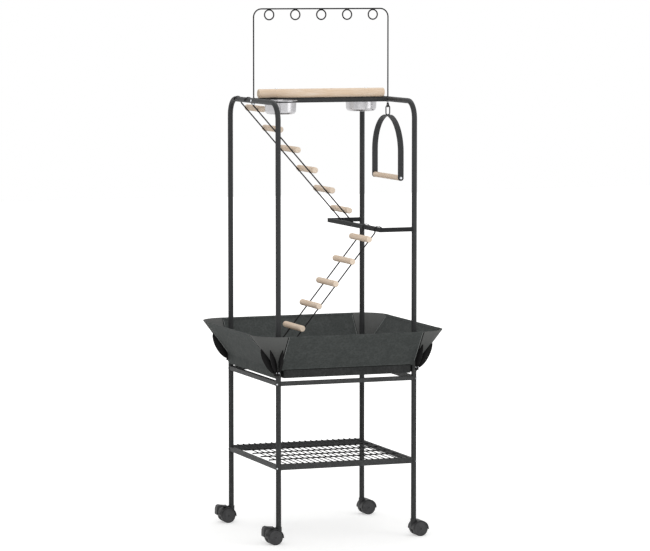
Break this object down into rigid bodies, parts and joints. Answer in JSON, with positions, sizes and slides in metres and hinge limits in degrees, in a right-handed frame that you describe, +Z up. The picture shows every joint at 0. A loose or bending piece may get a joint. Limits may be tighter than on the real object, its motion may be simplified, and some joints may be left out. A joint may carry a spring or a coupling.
{
  "type": "parrot play stand",
  "caption": "Tall wheeled bird stand: flared tray on a tube frame, wooden perch with bowls, hanging swing, two ladders and a wire toy hanger on top.",
  "frame": {"origin": "on the floor under the middle of the stand", "axes": "+Z up, +X to the right side with the swing, +Y away from the front; the pan pulls out towards -Y"},
  "size_m": [0.6712, 0.6712, 1.76],
  "materials": {
    "textured_steel": "textured",
    "smooth_steel": "matte",
    "wire_steel": "matte",
    "tray_sheet": "textured",
    "black_plastic": "satin",
    "wheel_tread": "satin",
    "pale_wood": "sanded",
    "stainless": "brushed"
  },
  "bodies": {
    "stand": {"lower_leg_front_left": "textured_steel", "lower_leg_front_right": "textured_steel", "lower_leg_back_left": "textured_steel", "lower_leg_back_right": "textured_steel", "front_shelf_rail": "textured_steel", "front_tray_rail": "textured_steel", "front_top_rail": "textured_steel", "back_shelf_rail": "textured_steel", "back_tray_rail": "textured_steel", "back_top_rail": "textured_steel", "left_shelf_rail": "textured_steel", "left_tray_rail": "textured_steel", "left_top_rail": "textured_steel", "right_shelf_rail": "textured_steel", "right_tray_rail": "textured_steel", "right_top_rail": "textured_steel", "shelf_grate": "wire_steel", "front_skirt": "tray_sheet", "back_skirt": "tray_sheet", "left_skirt": "tray_sheet", "right_skirt": "tray_sheet", "corner_guard_front_left": "tray_sheet", "corner_guard_front_right": "tray_sheet", "corner_guard_back_left": "tray_sheet", "corner_guard_back_right": "tray_sheet", "corner_ribs_front_left": "black_plastic", "corner_ribs_front_right": "black_plastic", "corner_ribs_back_left": "black_plastic", "corner_ribs_back_right": "black_plastic", "left_upper_frame": "smooth_steel", "right_upper_frame": "smooth_steel", "cross_bar": "smooth_steel", "middle_frame": "smooth_steel", "toy_hanger": "wire_steel", "bowl_holder_left": "wire_steel", "bowl_holder_right": "wire_steel", "perch": "pale_wood"},
    "pan": {"pull_out_pan": "tray_sheet"},
    "left_bowl": {"bowl_left": "stainless"},
    "right_bowl": {"bowl_right": "stainless"},
    "swing": {"swing_strap": "smooth_steel", "swing_dowel": "pale_wood"},
    "upper_ladder": {"upper_ladder_wires": "wire_steel", "upper_ladder_rungs": "pale_wood"},
    "lower_ladder": {"lower_ladder_wires": "wire_steel", "lower_ladder_rungs": "pale_wood"},
    "caster_front_left": {"caster_front_left_housing": "black_plastic"},
    "caster_front_left_near": {"caster_front_left_wheel_near": "wheel_tread"},
    "caster_front_left_far": {"caster_front_left_wheel_far": "wheel_tread"},
    "brake_front_left": {"caster_front_left_brake_lever": "black_plastic"},
    "caster_front_right": {"caster_front_right_housing": "black_plastic"},
    "caster_front_right_near": {"caster_front_right_wheel_near": "wheel_tread"},
    "caster_front_right_far": {"caster_front_right_wheel_far": "wheel_tread"},
    "caster_back_left": {"caster_back_left_housing": "black_plastic"},
    "caster_back_left_near": {"caster_back_left_wheel_near": "wheel_tread"},
    "caster_back_left_far": {"caster_back_left_wheel_far": "wheel_tread"},
    "brake_back_left": {"caster_back_left_brake_lever": "black_plastic"},
    "caster_back_right": {"caster_back_right_housing": "black_plastic"},
    "caster_back_right_near": {"caster_back_right_wheel_near": "wheel_tread"},
    "caster_back_right_far": {"caster_back_right_wheel_far": "wheel_tread"}
  },
  "joints": [
    {"name": "pan_slide", "type": "slide", "parent": "stand", "child": "pan", "axis": [0, -1, 0], "range_m": [0, 0.4]},
    {"name": "left_bowl_lift", "type": "slide", "parent": "stand", "child": "left_bowl", "axis": [0, 0, 1], "range_m": [0, 0.06]},
    {"name": "right_bowl_lift", "type": "slide", "parent": "stand", "child": "right_bowl", "axis": [0, 0, 1], "range_m": [0, 0.06]},
    {"name": "swing_hang", "type": "hinge", "parent": "stand", "child": "swing", "pos_m": [0.24, 0, 1.4265], "axis": [0, 1, 0], "range_deg": [-50, 50]},
    {"name": "upper_ladder_lift", "type": "slide", "parent": "stand", "child": "upper_ladder", "axis": [0, 0, 1], "range_m": [0, 0.06]},
    {"name": "lower_ladder_lift", "type": "slide", "parent": "stand", "child": "lower_ladder", "axis": [0, 0, 1], "range_m": [0, 0.06]},
    {"name": "caster_front_left_swivel", "type": "hinge", "parent": "stand", "child": "caster_front_left", "pos_m": [-0.24, -0.24, 0.0573], "axis": [0, 0, 1], "continuous": true},
    {"name": "caster_front_left_near_roll", "type": "hinge", "parent": "caster_front_left", "child": "caster_front_left_near", "pos_m": [-0.2575, -0.24, 0.025], "axis": [0, 1, 0], "continuous": true},
    {"name": "caster_front_left_far_roll", "type": "hinge", "parent": "caster_front_left", "child": "caster_front_left_far", "pos_m": [-0.2575, -0.24, 0.025], "axis": [0, 1, 0], "continuous": true},
    {"name": "brake_front_left_press", "type": "hinge", "parent": "caster_front_left", "child": "brake_front_left", "pos_m": [-0.2585, -0.24, 0.0558], "axis": [0, -1, 0], "range_deg": [0, 8]},
    {"name": "caster_front_right_swivel", "type": "hinge", "parent": "stand", "child": "caster_front_right", "pos_m": [0.24, -0.24, 0.0573], "axis": [0, 0, 1], "continuous": true},
    {"name": "caster_front_right_near_roll", "type": "hinge", "parent": "caster_front_right", "child": "caster_front_right_near", "pos_m": [0.2575, -0.24, 0.025], "axis": [0, 1, 0], "continuous": true},
    {"name": "caster_front_right_far_roll", "type": "hinge", "parent": "caster_front_right", "child": "caster_front_right_far", "pos_m": [0.2575, -0.24, 0.025], "axis": [0, 1, 0], "continuous": true},
    {"name": "caster_back_left_swivel", "type": "hinge", "parent": "stand", "child": "caster_back_left", "pos_m": [-0.24, 0.24, 0.0573], "axis": [0, 0, 1], "continuous": true},
    {"name": "caster_back_left_near_roll", "type": "hinge", "parent": "caster_back_left", "child": "caster_back_left_near", "pos_m": [-0.2575, 0.24, 0.025], "axis": [0, 1, 0], "continuous": true},
    {"name": "caster_back_left_far_roll", "type": "hinge", "parent": "caster_back_left", "child": "caster_back_left_far", "pos_m": [-0.2575, 0.24, 0.025], "axis": [0, 1, 0], "continuous": true},
    {"name": "brake_back_left_press", "type": "hinge", "parent": "caster_back_left", "child": "brake_back_left", "pos_m": [-0.2585, 0.24, 0.0558], "axis": [0, -1, 0], "range_deg": [0, 8]},
    {"name": "caster_back_right_swivel", "type": "hinge", "parent": "stand", "child": "caster_back_right", "pos_m": [0.24, 0.24, 0.0573], "axis": [0, 0, 1], "continuous": true},
    {"name": "caster_back_right_near_roll", "type": "hinge", "parent": "caster_back_right", "child": "caster_back_right_near", "pos_m": [0.2575, 0.24, 0.025], "axis": [0, 1, 0], "continuous": true},
    {"name": "caster_back_right_far_roll", "type": "hinge", "parent": "caster_back_right", "child": "caster_back_right_far", "pos_m": [0.2575, 0.24, 0.025], "axis": [0, 1, 0], "continuous": true}
  ]
}
